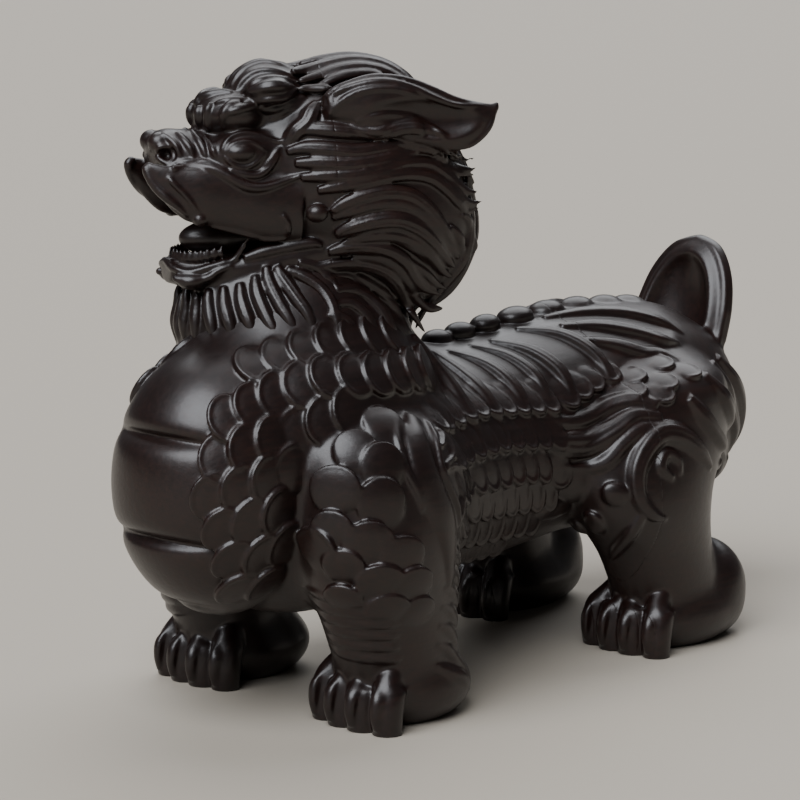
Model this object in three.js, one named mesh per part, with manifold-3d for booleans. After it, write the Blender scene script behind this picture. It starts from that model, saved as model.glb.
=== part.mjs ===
// A standing guardian beast of East Asia, carved from one block of dark wood.
// Millimetres, +Z up. The beast faces -Y, its left flank is +X, and it stands on Z = 0.
import * as THREE from "three";
import { mergeVertices } from "three/addons/utils/BufferGeometryUtils.js";
import Module from "manifold-3d";

const wasm = await Module();
wasm.setup();

// Driving dimensions
const MIDDLE_Y = 13.9; // middle of the length, moved to the origin at the end
const CHEST = [0, -64.5, 56]; // middle of the swollen chest
const CHEST_RADII = [24.5, 24, 31];
const BAND_GROOVES = [[69, 3], [46, 3], [29, 1.4]]; // height and depth of each groove across the chest
const BAND_GROOVE_HALF = 2.2; // half width of a groove
const BAND_REACH = 50; // degrees from the middle at which the grooves die out
const FORE_FOOT = { x: 27.5, y: -33.5, half: 20.5 }; // middle of a fore foot and half its length
const HIND_FOOT = { x: 27.5, y: 66, half: 24 };
const SCALE_RISE = 1.4; // how far a scale's free rim stands off the hide
const HEAD_TURN = -25; // degrees about the neck, towards the beast's right
const NECK_Y = -28; // the neck's axis
const HEAD_Z = 118.8; // height of the head's middle, at the corners of the mouth

const WOOD = new THREE.MeshStandardMaterial({ color: 0x2a1511, roughness: 0.38, metalness: 0 });

const V = (x, y, z) => new THREE.Vector3(x, y, z);
const rad = THREE.MathUtils.degToRad;
const lerp = THREE.MathUtils.lerp;
const evenly = (count, from, to) => Array.from({ length: count }, (_, i) => lerp(from, to, i / (count - 1)));

// How finely small beads are faceted, and which way the thickness of an upright or a level limb is measured.
const BEAD = { columns: 6, rows: 4 };
const UPRIGHT = { facing: V(0, 1, 0) };
const SIDEWAYS = { facing: V(1, 0, 0) };

// A closed geometry as a manifold-3d solid, and back.
function solidOf(geometry) {
  const bare = geometry.clone();
  bare.deleteAttribute("normal");
  bare.deleteAttribute("uv");
  const merged = mergeVertices(bare, 1e-4);
  return new wasm.Manifold(
    new wasm.Mesh({
      numProp: 3,
      vertProperties: new Float32Array(merged.attributes.position.array),
      triVerts: new Uint32Array(merged.index.array),
    }),
  );
}

function geometryOf(solid) {
  const mesh = solid.getMesh();
  return new THREE.BufferGeometry()
    .setAttribute("position", new THREE.BufferAttribute(new Float32Array(mesh.vertProperties), 3))
    .setIndex(new THREE.BufferAttribute(new Uint32Array(mesh.triVerts), 1));
}

// A closed skin from rings of points, each ring as long as the next, with flat ends.
function skin(rings) {
  const sides = rings[0].length;
  const points = rings.flat().flatMap((p) => [p.x, p.y, p.z]);
  const faces = [];
  const last = (rings.length - 1) * sides;
  for (let j = 0; j < sides; j++) {
    const k = (j + 1) % sides;
    for (let i = 0; i < last; i += sides) {
      faces.push(i + j, i + k, i + sides + j, i + k, i + sides + k, i + sides + j);
    }
    if (j > 0 && k > 0) faces.push(0, k, j, last, last + j, last + k);
  }
  const g = new THREE.BufferGeometry()
    .setAttribute("position", new THREE.BufferAttribute(new Float32Array(points), 3))
    .setIndex(faces);
  return solidOf(g);
}

// A rounded mass of wood. `tilt` is in degrees about X.
function mass(centre, radii, { tilt = 0, columns = 8, rows = 5 } = {}) {
  const g = new THREE.SphereGeometry(1, columns, rows).rotateX(Math.PI / 2);
  g.scale(...radii).rotateX(rad(tilt)).translate(...centre);
  return solidOf(g);
}

// A limb or lock of elliptical section along a smooth path. Each stop is [x, y, z, across, deep],
// with the half sizes across the path and along `facing`. `rows` lists where rows of scales cross
// the limb, as fractions of its length, and `lap` is how far each scale's free tip reaches back
// towards the first stop. `cover` fades the scales out round the limb.
function limb(stops, options = {}) {
  const { facing = V(0, 0, 1), sides = 4, steps = 4 } = options;
  const { rows = [], lap = 0, rise = SCALE_RISE, cover = () => 1 } = options;
  const path = new THREE.CatmullRomCurve3(stops.map((s) => V(s[0], s[1], s[2])));
  const sizes = new THREE.CatmullRomCurve3(stops.map((s) => V(s[3], s[4], 0)));
  const place = (t, a, lift) => {
    const at = path.getPoint(t);
    const size = sizes.getPoint(t);
    const along = path.getTangent(t);
    const side = along.clone().cross(facing).normalize();
    const out = side.clone().cross(along).normalize();
    const across = Math.cos(a) * (Math.max(size.x, 0.2) + lift);
    const deep = Math.sin(a) * (Math.max(size.y, 0.2) + lift);
    return at.addScaledVector(side, across).addScaledVector(out, deep);
  };
  const ring = (shape) => Array.from({ length: sides }, (_, j) => shape(j, (-j / sides) * 2 * Math.PI));
  const smooth = (t) => ring((j, a) => place(t, a, 0));
  if (rows.length === 0) return skin(Array.from({ length: steps + 1 }, (_, i) => smooth(i / steps)));
  const rings = [smooth(0)];
  rows.forEach((t, row) => {
    // Every other point of the ring is the tip of a scale, shifted by one in each new row.
    const tip = (j) => (j + row) % 2;
    rings.push(ring((j, a) => place(t - lap * tip(j), a, -0.2)));
    rings.push(ring((j, a) => place(t - lap * tip(j), a, rise * (0.25 + 0.75 * tip(j)) * cover(a))));
  });
  const end = rows[rows.length - 1];
  for (let i = 1; i <= steps; i++) rings.push(smooth(lerp(end, 1, i / steps)));
  return skin(rings);
}

// The same piece on both flanks.
const pair = (solid) => [solid, solid.mirror([1, 0, 0])];

// Trunk: sections from inside the chest to the rump, each [x, y, z, half width, half height].
const TRUNK = [
  [0, -72, 57, 14, 20],
  [0, -54, 55, 31, 31],
  [0, -32, 54.5, 34, 32],
  [0, -6, 53, 30, 28.5],
  [0, 16, 53, 28, 28],
  [0, 40, 55.5, 29, 28],
  [0, 66, 56.5, 30, 28.5],
  [0, 90, 55.5, 26.5, 27],
  [0, 106, 54, 18, 20],
  [0, 116, 52, 3, 4],
];
const aboveBelly = (a) => (Math.sin(a) < -0.6 ? 0 : 1);
const TRUNK_SCALES = { rows: evenly(9, 0.14, 0.58), lap: 0.037, cover: aboveBelly };
const body = [limb(TRUNK, { sides: 24, steps: 4, ...TRUNK_SCALES })];

// The swollen chest: a turned ball pinched at the front by grooves that die out to the sides.
function chest() {
  const [radius, , tall] = CHEST_RADII;
  const heights = [-tall, -29, -21, 23, 29, tall];
  for (const [height] of BAND_GROOVES) {
    for (const step of [-1, 0, 1]) heights.push(height - CHEST[2] + step * BAND_GROOVE_HALF);
    heights.push(height - CHEST[2] + 4 * BAND_GROOVE_HALF);
  }
  heights.sort((a, b) => a - b);
  const round = (z) => radius * Math.sqrt(Math.max(0, 1 - (z / tall) ** 2));
  const profile = heights.map((z) => new THREE.Vector2(round(z), z));
  const g = new THREE.LatheGeometry(profile, 14).rotateX(Math.PI / 2);
  const at = g.attributes.position;
  for (let i = 0; i < at.count; i++) {
    const [x, y, z] = [at.getX(i), at.getY(i), at.getZ(i)];
    const off = Math.atan2(x, -y) / rad(BAND_REACH);
    const fade = Math.max(0, 1 - off * off);
    const groove = BAND_GROOVES.find(([height]) => Math.abs(height - CHEST[2] - z) < 0.1);
    const flat = Math.hypot(x, y) || 1;
    const k = 1 - ((groove ? groove[1] : 0) * fade) / flat;
    at.setXYZ(i, x * k, y * k, z);
  }
  return solidOf(g.translate(...CHEST));
}
body.push(chest());

// Neck, from under the jaw down to the chest and shoulders.
const NECK = [
  [-3, -35, 108, 11, 13],
  [-3, -34, 99, 17, 21],
  [-2, -36, 89, 22, 28],
  [0, -38, 79, 28, 32],
  [0, -42, 62, 31, 28],
];
const NECK_SCALES = { rows: evenly(3, 0.42, 0.85), lap: 0.1 };
body.push(limb(NECK, { ...UPRIGHT, sides: 20, steps: 1, ...NECK_SCALES }));

// Fore legs from the shoulder down, and hind legs from the haunch down.
const FORE_LEG = [
  [22, -40, 74, 5, 7],
  [28, -40, 66, 11, 18],
  [29.5, -40, 52, 14, 22],
  [29.5, -41, 38, 15, 20],
  [28.5, -37, 22, 13, 17],
  [27.5, -33, 8, 12, 15],
];
const HIND_LEG = [
  [17, 68, 75, 5, 8],
  [25, 65, 68, 11, 20],
  [26.5, 59, 55, 13.5, 26],
  [28, 54, 39, 14.5, 22],
  [28, 60, 24, 12.5, 17],
  [27.5, 68, 8, 12, 17],
];
const FORE_SCALES = { rows: evenly(4, 0.2, 0.62), lap: 0.07 };
const HIND_SCALES = { rows: evenly(3, 0.3, 0.58), lap: 0.07 };
body.push(...pair(limb(FORE_LEG, { ...UPRIGHT, sides: 12, steps: 2, ...FORE_SCALES })));
body.push(...pair(limb(HIND_LEG, { ...UPRIGHT, sides: 12, steps: 2, ...HIND_SCALES })));

// A foot: a low pad with four toes spread at the front.
function foot({ x, y, half }) {
  const parts = [mass([x, y + 2, 7.5], [14.5, half - 2, 10.5], { columns: 10, rows: 5 })];
  for (let i = 0; i < 4; i++) {
    const s = (i - 1.5) / 1.5;
    const front = y - half + Math.abs(s) * 2.5;
    const stops = [
      [x + s * 7, y - 4, 12.5, 3, 3.4],
      [x + s * 9.8, front + 8, 9.5, 4.2, 4.6],
      [x + s * 11, front + 3, 4.5, 4, 4.2],
      [x + s * 11, front + 1, -0.5, 2.2, 2.6],
    ];
    parts.push(limb(stops, { sides: 4, steps: 3 }));
  }
  return parts;
}
for (const part of [...foot(FORE_FOOT), ...foot(HIND_FOOT)]) body.push(...pair(part));

// The hock of each hind leg: a round heel with a bead above it.
body.push(...pair(mass([28, HIND_FOOT.y + 12, 12], [12, 12, 13])));
body.push(...pair(mass([28, HIND_FOOT.y + 10.5, 25], [4, 4, 3.6], BEAD)));

// The tail: an upright leaf, hollow on the side that faces the head.
const leaf = mass([0, 103, 75], [14.5, 7, 25], { tilt: -20, columns: 12, rows: 8 });
const hollow = mass([0, 97, 77], [10.5, 8, 19], { tilt: -20, columns: 10, rows: 6 });
body.push(leaf.subtract(hollow));

// Knobs along the spine.
for (let i = 0; i < 7; i++) {
  const y = 10 + i * 11.5;
  const z = 79.5 + 4 * Math.sin((y / 100) * Math.PI);
  body.push(mass([0, y, z], [4.5, 6, 4], { columns: 6, rows: 3 }));
}

// Long locks over the flank, from the spine down and back, then curls forward from the tail.
const RIBBONS = [
  [14, -12, 82, 22, -7, 76, 26, 1, 65],
  [14, 1, 81, 22, 6, 76, 27, 12, 64],
  [13, 14, 83, 22, 20, 77, 28, 27, 66],
  [11, 28, 86, 22, 34, 80, 28, 42, 71],
  [16, 76, 70, 28, 46, 70, 30, 15, 61],
  [26, 80, 56, 35, 70, 46, 37, 50, 40],
];
for (const [x0, y0, z0, x1, y1, z1, x2, y2, z2] of RIBBONS) {
  const stops = [
    [x0, y0, z0, 1.5, 1.5],
    [x1, y1, z1, 3.6, 3.6],
    [x2, y2, z2, 0.3, 0.3],
  ];
  body.push(...pair(limb(stops, { facing: V(0.9, 0, 0.5) })));
}

// Tufts at the back of the rump.
for (let i = 0; i < 3; i++) {
  const stops = [
    [6 + i * 8, 97 - i * 5, 66 - i * 3, 2, 2],
    [7 + i * 8, 109 - i * 6, 52 - i * 3, 4.5, 4],
    [8 + i * 8, 104 - i * 7, 36 - i * 2, 0.4, 0.4],
  ];
  body.push(...pair(limb(stops, UPRIGHT)));
}

// The head, built about its own middle and facing -Y, then turned on the neck.
// Skull, forehead and the back of the mouth.
const head = [
  mass([0, -4, 11], [18, 21, 17], { columns: 10, rows: 7 }),
  mass([0, -17, 22], [12, 12, 9.5]),
  mass([0, -15, -4], [12.5, 14, 10], { columns: 10, rows: 5 }),
];

// Mane: two rings of pointed locks, laid back from the face.
const MANE = [
  [0, 33, -12, 7, 9],
  [0, 27, -7, 15, 22],
  [0, 12, -3, 20, 29],
  [0, -2, 2, 20.5, 27],
  [0, -13, 5, 17, 22],
  [0, -18, 6, 10, 14],
];
head.push(limb(MANE, { sides: 20, steps: 1, rows: [0.36, 0.64], lap: 0.2, rise: 2.8 }));

// Muzzle and nose.
const MUZZLE = [
  [0, -8, 7, 16, 13],
  [0, -25, 7, 13.5, 10],
  [0, -37, 7, 10.5, 8],
  [0, -43, 7, 4, 3],
];
head.push(limb(MUZZLE, { sides: 8, steps: 5 }));
head.push(mass([0, -39.5, 12.5], [6, 4.5, 4.5]));
head.push(...pair(mass([5.5, -39.5, 10.5], [3.4, 3.4, 3.2], BEAD)));

// Lower jaw, hollowed, with the tongue in it.
const JAW = [
  [0, -4, -11, 15, 9],
  [0, -20, -13.5, 14, 6.5],
  [0, -32, -15.5, 11, 5],
  [0, -41, -14, 4.5, 3.4],
];
head.push(limb(JAW, { sides: 8 }).subtract(mass([0, -25, -8.5], [9.5, 13, 6])));
head.push(mass([0, -24, -14], [6, 11, 3]));

// Features of one side of the face.
const face = [
  // Curtain of the upper lip, ending in a bead.
  limb(
    [
      [8, -43, 9, 3.2, 3.2],
      [10, -42.5, 3, 3.6, 3.6],
      [10, -37, -4, 3, 3],
    ],
    SIDEWAYS,
  ),
  mass([10, -36.5, -3.5], [3.6, 3.6, 3.6], BEAD),
  // Upper lip, swept back to the corner of the mouth.
  limb([
    [9, -43, 9, 3, 3],
    [12.5, -35, 7, 3.4, 3.6],
    [15.5, -26, 4, 3.2, 3.4],
    [17.5, -17, 3, 3, 3.2],
    [18.5, -10, -1, 2.6, 3],
  ]),
  mass([19, -9.5, -2], [3.6, 3.6, 3.6], BEAD),
  // Lower lip.
  limb([
    [18.5, -9, -4, 2.4, 2.4],
    [14.5, -20, -10, 2.4, 2.4],
    [10.5, -33, -14, 2.4, 2.4],
    [3, -40.5, -11, 2.2, 2.2],
  ]),
  // Brow, eye and cheek.
  limb([
    [3, -31, 19.5, 2.6, 2.6],
    [8, -28, 22.5, 3.4, 3.4],
    [15, -22, 23, 3.6, 3.6],
    [19.5, -12, 18, 2.6, 3],
  ]),
  mass([12.5, -26, 13.5], [4, 4.2, 3.8], BEAD),
  mass([15, -16, 9], [5.5, 9, 6], { tilt: 12, ...BEAD }),
];
for (const part of face) head.push(...pair(part));

// An ear, laid back and hollow on its outer face.
const EAR = [
  [15, -4, 20, 3, 4],
  [17, 8, 22, 4, 8],
  [18, 22, 19.5, 3, 6.5],
  [18, 34, 20.5, 0.8, 1],
];
head.push(...pair(limb(EAR, { sides: 5 }).subtract(mass([23, 17, 20.5], [4.5, 11, 4.5], BEAD))));

// Larger locks on each side of the mane: how far back and up the root, the crest and the tip lie,
// then the thickness.
const LOCKS = [
  [-15, 17, 10, 15.5, 27, 6, 5],
  [-13, 9, 12, 10, 29, -4, 5],
  [-6, -4, 8, 0, 25, -14, 5],
  [-9, -14, 8, -14, 16, -31, 5],
];
for (const [y0, z0, y1, z1, y2, z2, size] of LOCKS) {
  const lock = limb([
    [16, y0, z0, size * 0.5, size * 0.7],
    [19.5, lerp(y0, y1, 0.5), lerp(z0, z1, 0.6), size * 0.8, size * 0.9],
    [21.5, y1, z1, size * 0.9, size],
    [21, lerp(y1, y2, 0.6), lerp(z1, z2, 0.45), size * 0.7, size * 0.8],
    [18, y2, z2, 0.3, 0.3],
  ]);
  head.push(...pair(lock));
}

// Locks over the crown.
for (let i = -1; i <= 1; i++) {
  const x = i * 8.5;
  const drop = 1.4 * i * i;
  const stops = [
    [x * 0.7, -14, 29 - drop, 2, 1.6],
    [x, 0, 28.6 - drop * 2, 5.2, 4],
    [x * 1.15, 15, 24.5 - drop * 2, 5.6, 4.4],
    [x * 1.3, 27, 14.5 - drop, 4, 3.4],
    [x * 1.2, 33, 5, 0.3, 0.3],
  ];
  head.push(limb(stops, SIDEWAYS));
}

// Beard: a lock from the chin, and two swept back under each side of the jaw.
for (const [x, y] of [[0, -36], [8, -33], [15, -21]]) {
  const stops = [
    [x, y, -14, 3, 3],
    [x * 1.15, y, -22, 4.4, 4.4],
    [x * 1.3, y + 4, -33, 0.4, 0.4],
  ];
  head.push(...pair(limb(stops, SIDEWAYS)));
}

const turned = wasm.Manifold.union(head).rotate([0, 0, HEAD_TURN]).translate([0, NECK_Y, HEAD_Z]);
const carving = wasm.Manifold.union([...body, turned])
  .trimByPlane([0, 0, 1], 0)
  .translate([0, -MIDDLE_Y, 0]);

const part = new THREE.Mesh(geometryOf(carving), WOOD);
part.name = "carving";
const root = new THREE.Group();
root.add(part);
export default root;
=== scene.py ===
# %% [markdown]
# # A guardian beast carved from one block of dark wood
#
# The real object is a small standing beast with a long mane, cut from a single block of
# close-grained dark wood and lacquered. The CAD frame gives its solid, its size and its pose.
# This script keeps that form and adds what a carver's small gouges add: scales with a raised
# rim, the strands of the mane, the wrinkles of the face, the toes.
#
# We start by loading the frame.

# %% Load the fixed frame
import time
import bpy
import mathutils
import numpy as np
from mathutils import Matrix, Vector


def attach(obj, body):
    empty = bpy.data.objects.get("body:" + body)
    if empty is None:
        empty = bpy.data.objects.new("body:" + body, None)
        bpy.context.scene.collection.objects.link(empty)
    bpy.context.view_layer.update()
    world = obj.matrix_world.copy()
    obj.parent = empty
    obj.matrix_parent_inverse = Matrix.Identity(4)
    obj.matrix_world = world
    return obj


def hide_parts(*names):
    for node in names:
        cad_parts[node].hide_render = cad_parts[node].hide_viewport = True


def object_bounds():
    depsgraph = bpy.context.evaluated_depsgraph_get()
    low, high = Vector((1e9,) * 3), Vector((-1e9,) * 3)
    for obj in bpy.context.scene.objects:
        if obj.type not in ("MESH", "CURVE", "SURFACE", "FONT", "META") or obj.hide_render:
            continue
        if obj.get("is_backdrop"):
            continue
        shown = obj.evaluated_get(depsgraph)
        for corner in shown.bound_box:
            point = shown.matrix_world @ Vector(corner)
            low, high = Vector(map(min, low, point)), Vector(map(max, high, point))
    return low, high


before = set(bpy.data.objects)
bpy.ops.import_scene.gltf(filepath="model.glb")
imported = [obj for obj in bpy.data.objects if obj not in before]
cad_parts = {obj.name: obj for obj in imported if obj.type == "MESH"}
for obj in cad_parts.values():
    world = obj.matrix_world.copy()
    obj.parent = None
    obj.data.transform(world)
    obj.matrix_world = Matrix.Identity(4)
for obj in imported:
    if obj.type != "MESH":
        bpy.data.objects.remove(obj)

import openvdb

began = time.time()
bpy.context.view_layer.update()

# %% [markdown]
# ## Working like a carver: one block, no joints
#
# A carving has no seams, so its parts can't simply be pushed into each other: the eye sees a
# hard line wherever two separate meshes cross. We therefore describe the wood as a *distance
# field*, a grid of numbers that says how far each point is from the surface, below zero inside.
# Two forms are melted together by taking the smaller number, with a small fillet where they are
# nearly equal. All sizes here are in millimetres, in the frame in which the carving was drawn.

# %% A block of space
FAR = 8.0  # the largest distance that is kept, in mm


def melt(a, b, soft):
    """The union of two fields, with a fillet of about `soft` mm."""
    if soft == 0:
        return np.minimum(a, b)
    near = np.maximum(soft - np.abs(a - b), 0) / soft
    return np.minimum(a, b) - near * near * (soft * 0.25)


class Block:
    """A box of space with a grid of distances to the wood."""

    def __init__(self, low, high, pitch):
        self.pitch = pitch
        self.low = np.floor(np.array(low, float) / pitch).astype(int)
        self.size = np.ceil(np.array(high, float) / pitch).astype(int) - self.low + 1
        self.d = np.full(self.size, FAR, np.float32)

    def window(self, low, high, reach):
        """The part of the grid near a shape, and the x, y and z of its points."""
        first = np.floor((np.array(low) - reach) / self.pitch).astype(int) - self.low
        last = np.ceil((np.array(high) + reach) / self.pitch).astype(int) + 1 - self.low
        first, last = np.clip(first, 0, self.size), np.clip(last, 0, self.size)
        part = tuple(slice(i, max(i, j)) for i, j in zip(first, last))
        axes = [np.arange(s.start, s.stop) + l for s, l in zip(part, self.low)]
        axes = [(axis * self.pitch).astype(np.float32) for axis in axes]
        return part, np.meshgrid(*axes, indexing="ij", sparse=True)

    def fuse(self, shape, soft=0.0):
        low, high, distance = shape
        part, grid = self.window(low, high, FAR)
        self.d[part] = melt(self.d[part], distance(*grid), soft)

    def carve(self, shape, soft=0.0):
        low, high, distance = shape
        part, grid = self.window(low, high, 1 + soft)
        self.d[part] = -melt(-self.d[part], distance(*grid), soft)


# %% [markdown]
# ## Two basic forms
#
# An `egg` is a stretched and tilted ball. A `loft` is a limb with an oval section that changes
# along Y or Z: a curve through the listed stops gives its middle and its two half sizes.
# With these the trunk, neck, legs, skull and jaws are all a few numbers each.

# %% Eggs and lofts
def egg(centre, radii, tilt=0.0):
    """A ball stretched to `radii`, tilted in degrees about X."""
    centre, radii = np.array(centre, float), np.array(radii, float)
    reach = radii.copy()
    if tilt:
        reach[1:] = max(radii[1:])
    s, c = np.sin(np.radians(tilt)), np.cos(np.radians(tilt))

    def distance(x, y, z):
        x, y, z = x - centre[0], y - centre[1], z - centre[2]
        y, z = y * c + z * s, z * c - y * s
        k = [(v / r) ** 2 for v, r in zip((x, y, z), radii)]
        a = np.sqrt(k[0] + k[1] + k[2])
        b = np.sqrt(sum(v / r**2 for v, r in zip(k, radii))) + 1e-6
        return a * (a - 1) / b

    return centre - reach, centre + reach, distance


def smooth_line(stops, steps=12):
    """A smooth curve through the stops, each a row of numbers."""
    p = np.array(stops, float)
    p = np.vstack([2 * p[0] - p[1], p, 2 * p[-1] - p[-2]])
    t = np.arange(steps)[:, None] / steps
    spans = []
    for a, b, c, d in zip(p, p[1:], p[2:], p[3:]):
        bend = (2 * a - 5 * b + 4 * c - d) * t**2 + (3 * b - a - 3 * c + d) * t**3
        spans.append(0.5 * (2 * b + (c - a) * t + bend))
    return np.vstack([*spans, p[-2]])


def loft(axis, stops):
    """A limb along Y (axis 1) or Z (axis 2). A stop is x, y, z, half across, half deep."""
    line = smooth_line(stops)
    line = line[np.argsort(line[:, axis])]
    other = 3 - axis
    start, end = line[0, axis], line[-1, axis]
    low, high = np.zeros(3), np.zeros(3)
    low[axis], high[axis] = start, end
    for side, half in ((0, 3), (other, 4)):
        low[side] = (line[:, side] - line[:, half]).min()
        high[side] = (line[:, side] + line[:, half]).max()

    def distance(x, y, z):
        along, deep = (y, z) if axis == 1 else (z, y)
        at = np.clip(along, start, end)
        mid, off, across, thick = [
            np.interp(at, line[:, axis], line[:, k]).astype(np.float32) for k in (0, other, 3, 4)
        ]
        across, thick = np.maximum(across, 0.3), np.maximum(thick, 0.3)
        u, v = ((x - mid) / across) ** 2, ((deep - off) / thick) ** 2
        a = np.sqrt(u + v)
        d = a * (a - 1) / (np.sqrt(u / across**2 + v / thick**2) + 1e-6)
        over = np.abs(along - at)
        return np.where(over > 0, np.sqrt(np.maximum(d, 0) ** 2 + over**2), d)

    return low, high, distance


def both(shape):
    """A form and its mirror image on the other flank."""
    low, high, distance = shape
    flip = np.array([-1, 1, 1])
    far_low, far_high = np.minimum(low * flip, high * flip), np.maximum(low * flip, high * flip)
    return [shape, (far_low, far_high, lambda x, y, z: distance(-x, y, z))]


# %% [markdown]
# ## The body without its carving
#
# The trunk, the neck, four heavy legs and the feet are the same named stops as in the solid.
# The chest is a swollen ball. Two deep grooves and a shallow one cross its front and die out
# at the sides, so it swells between them as three lobes.

# %% The trunk, neck, legs and chest
TRUNK = [
    (0, -72, 57, 14, 20), (0, -54, 55, 31, 31), (0, -32, 54.5, 34, 32), (0, -6, 53, 30, 28.5),
    (0, 16, 53, 28, 28), (0, 40, 55.5, 29, 28), (0, 66, 56.5, 30, 28.5), (0, 90, 55.5, 26.5, 27),
    (0, 106, 54, 18, 20), (0, 116, 52, 3, 4),
]
NECK = [
    (-3, -35, 108, 11, 13), (-3, -34, 99, 17, 21), (-2, -36, 89, 22, 28),
    (0, -38, 79, 28, 32), (0, -42, 62, 31, 28),
]
FORE_LEG = [
    (22, -40, 74, 5, 7), (28, -40, 66, 11, 18), (29.5, -40, 52, 14, 22),
    (29.5, -41, 38, 15, 20), (28.5, -37, 22, 13, 17), (27.5, -33, 8, 12, 15),
]
HIND_LEG = [
    (17, 68, 75, 5, 8), (25, 65, 68, 11, 20), (26.5, 59, 55, 13.5, 26),
    (28, 54, 39, 14.5, 22), (28, 60, 24, 12.5, 17), (27.5, 68, 8, 12, 17),
]
FEET = {"fore": (27.5, -33.5, 20.5), "hind": (27.5, 66, 24)}  # x, y and half length
BANDS = [(69, 3.2), (46, 3.2), (29, 1.5)]  # height and depth of each groove across the chest


def chest():
    low, high, ball = egg((0, -64.5, 56), (24.5, 24, 31))

    def distance(x, y, z):
        off = np.arctan2(x, -64.5 - y) / np.radians(58)
        groove = 0
        for height, depth in BANDS:
            drop = (z - height + 1.2 * np.clip(np.abs(off), 0, 1) ** 2) / 1.5
            groove = groove + depth * np.exp(-np.abs(drop) ** 1.2)
        return ball(x, y, z) + groove * np.clip(1 - off * off, 0, 1)

    return low, high, distance


COARSE = 0.72
body = Block((-47, -93, -2), (47, 122, 112), COARSE)
body.fuse(loft(1, TRUNK))
body.fuse(chest(), 2)
body.fuse(loft(2, NECK), 7)
for stops in (FORE_LEG, HIND_LEG):
    for side in both(loft(2, stops)):
        body.fuse(side, 5)
for x, y, half in FEET.values():
    for side in both(egg((x, y + 2, 7.0), (14, half - 3, 9.5))):
        body.fuse(side, 4)
for side in both(egg((28, 78, 12), (12, 12, 13))):
    body.fuse(side, 3)
print("body block:", body.d.shape, f"{time.time() - began:.1f} s")

# %% [markdown]
# The tail is an upright leaf, hollowed on the side that faces the head. A field makes the
# hollow easy: the same `egg` that adds wood can be carved away.

# %% The tail
body.fuse(egg((0, 103, 75), (14.5, 7, 25), -20), 1.5)
body.carve(egg((0, 97, 77), (11, 8.2, 20), -20), 1.5)

# %% [markdown]
# ## The head without its carving
#
# The head is drawn about its own middle, facing -Y, and is turned on the neck at the very end.
# Skull, brow, muzzle, jaw and the mass of the mane are fused. The mouth, the eye sockets, the
# nostrils and the hollows of the ears are carved out.

# %% The head
head = Block((-29, -50, -40), (29, 43, 41), COARSE * 0.8)
MANE = [
    (0, 33, -8, 7, 8), (0, 27, -4.6, 14.5, 19.4), (0, 12, -1, 18.6, 26.6), (0, -2, 4, 18.8, 24.5),
    (0, -11, 6, 16, 20), (0, -15, 7, 11, 14),
]
MUZZLE = [
    (0, -10, 5, 14, 11), (0, -22, 6.4, 12.4, 10.2), (0, -33, 8.6, 10.2, 8.2), (0, -40, 10.4, 8.6,
        6.2), (0, -43.4, 10.6, 6, 3.8),
]
CHEEK = [
    (8.4, -46.4, 8.8, 0.9, 1.4), (9.4, -43.4, 5.6, 1.5, 4.0), (10.4, -39, 3.0, 1.8, 5.8), (11.2, -34.6,
        2.2, 2.1, 6.4),
    (11.8, -28, 1.0, 2.4, 6.8), (12.6, -20, -0.6, 2.8, 7.4), (13, -12, -1, 3, 7.6),
]
JAW = [
    (0, -3, -11, 15, 8), (0, -14, -12.6, 14, 6.2), (0, -24, -14.2, 12.2, 5.2), (0, -33, -15.8, 9.8,
        4.4), (0, -40.2, -15.6, 4.6, 2.8),
]
SKIRT = [
    (0, -14, -12, 11, 18), (0, -12.5, -20, 17.4, 23), (0.6, -9.8, -28, 21.6, 27.4), (1, -9, -34, 22.6, 28.4),
]
EAR = [
    (14.5, -6, 22, 2.5, 3), (16.5, 4, 22.5, 3.2, 6.0), (17.5, 14, 20.4, 3, 7.0),
    (18, 24, 17.4, 2.6, 6.0), (18, 31, 18.2, 1.6, 3.8), (18, 35, 21.6, 0.6, 0.8),
]
head.fuse(egg((0, -6, 10), (15.5, 19, 15)))
head.fuse(egg((0, -15, 23), (9.5, 10.5, 9.2)), 3)
head.fuse(egg((0, -25.2, 20), (11.8, 8.0, 5.4)), 2)
head.fuse(egg((0, 4, 17.4), (13.5, 19, 14.4)), 3)
head.fuse(loft(1, MANE), 3)
head.fuse(loft(1, MUZZLE), 2.5)
head.fuse(egg((0, -40, 12.4), (6.4, 4.4, 4.2)), 1.5)
head.fuse(loft(1, JAW), 2)
head.fuse(loft(2, SKIRT), 2)
for side in both(loft(1, EAR)):
    head.fuse(side, 1.5)
head.carve(egg((0, -38, -1), (8.6, 14, 7.6), 6), 1)
head.carve(egg((0, -35, -8.4), (16, 18, 3.6), -7), 1)
for side in both(loft(1, CHEEK)):
    head.fuse(side, 1.2)
head.fuse(egg((0, -25, -8.4), (6.4, 12, 4.6)), 1)
HOLLOWS = [
    ((7.4, -41.4, 11.8), (2.4, 1.9, 1.9), 0.6), ((22.6, 15, 19.0), (5.0, 18, 5.6), 0.8),
    ((13.4, -23, 16.7), (3, 7.5, 1.5), 0.8),
]
for centre, radii, soft in HOLLOWS:
    for side in both(egg(centre, radii)):
        head.carve(side, soft)
SWELLS = [
    ((9.2, -23.6, 11), (4.6, 9, 5.6), 2.0), ((12.2, -25.6, 12), (2.6, 3.6, 2.3),
        0.3), ((3.4, -42.4, 14), (2.8, 2.6, 2.6), 0.6),
    ((17.8, -9.4, -1.8), (2.4, 2.6, 2.2), 0.4), ((9, -17.5, 25.6), (4.4, 5.5, 3.2), 1.5),
    ((11.9, -35.4, -3), (1.5, 1.6, 1.5), 0.5), ((7.6, -36.2, -17.4), (3, 3.4, 2), 1.5),
]
for centre, radii, soft in SWELLS:
    for side in both(egg(centre, radii)):
        head.fuse(side, soft)
print("head block:", head.d.shape, f"{time.time() - began:.1f} s")

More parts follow.
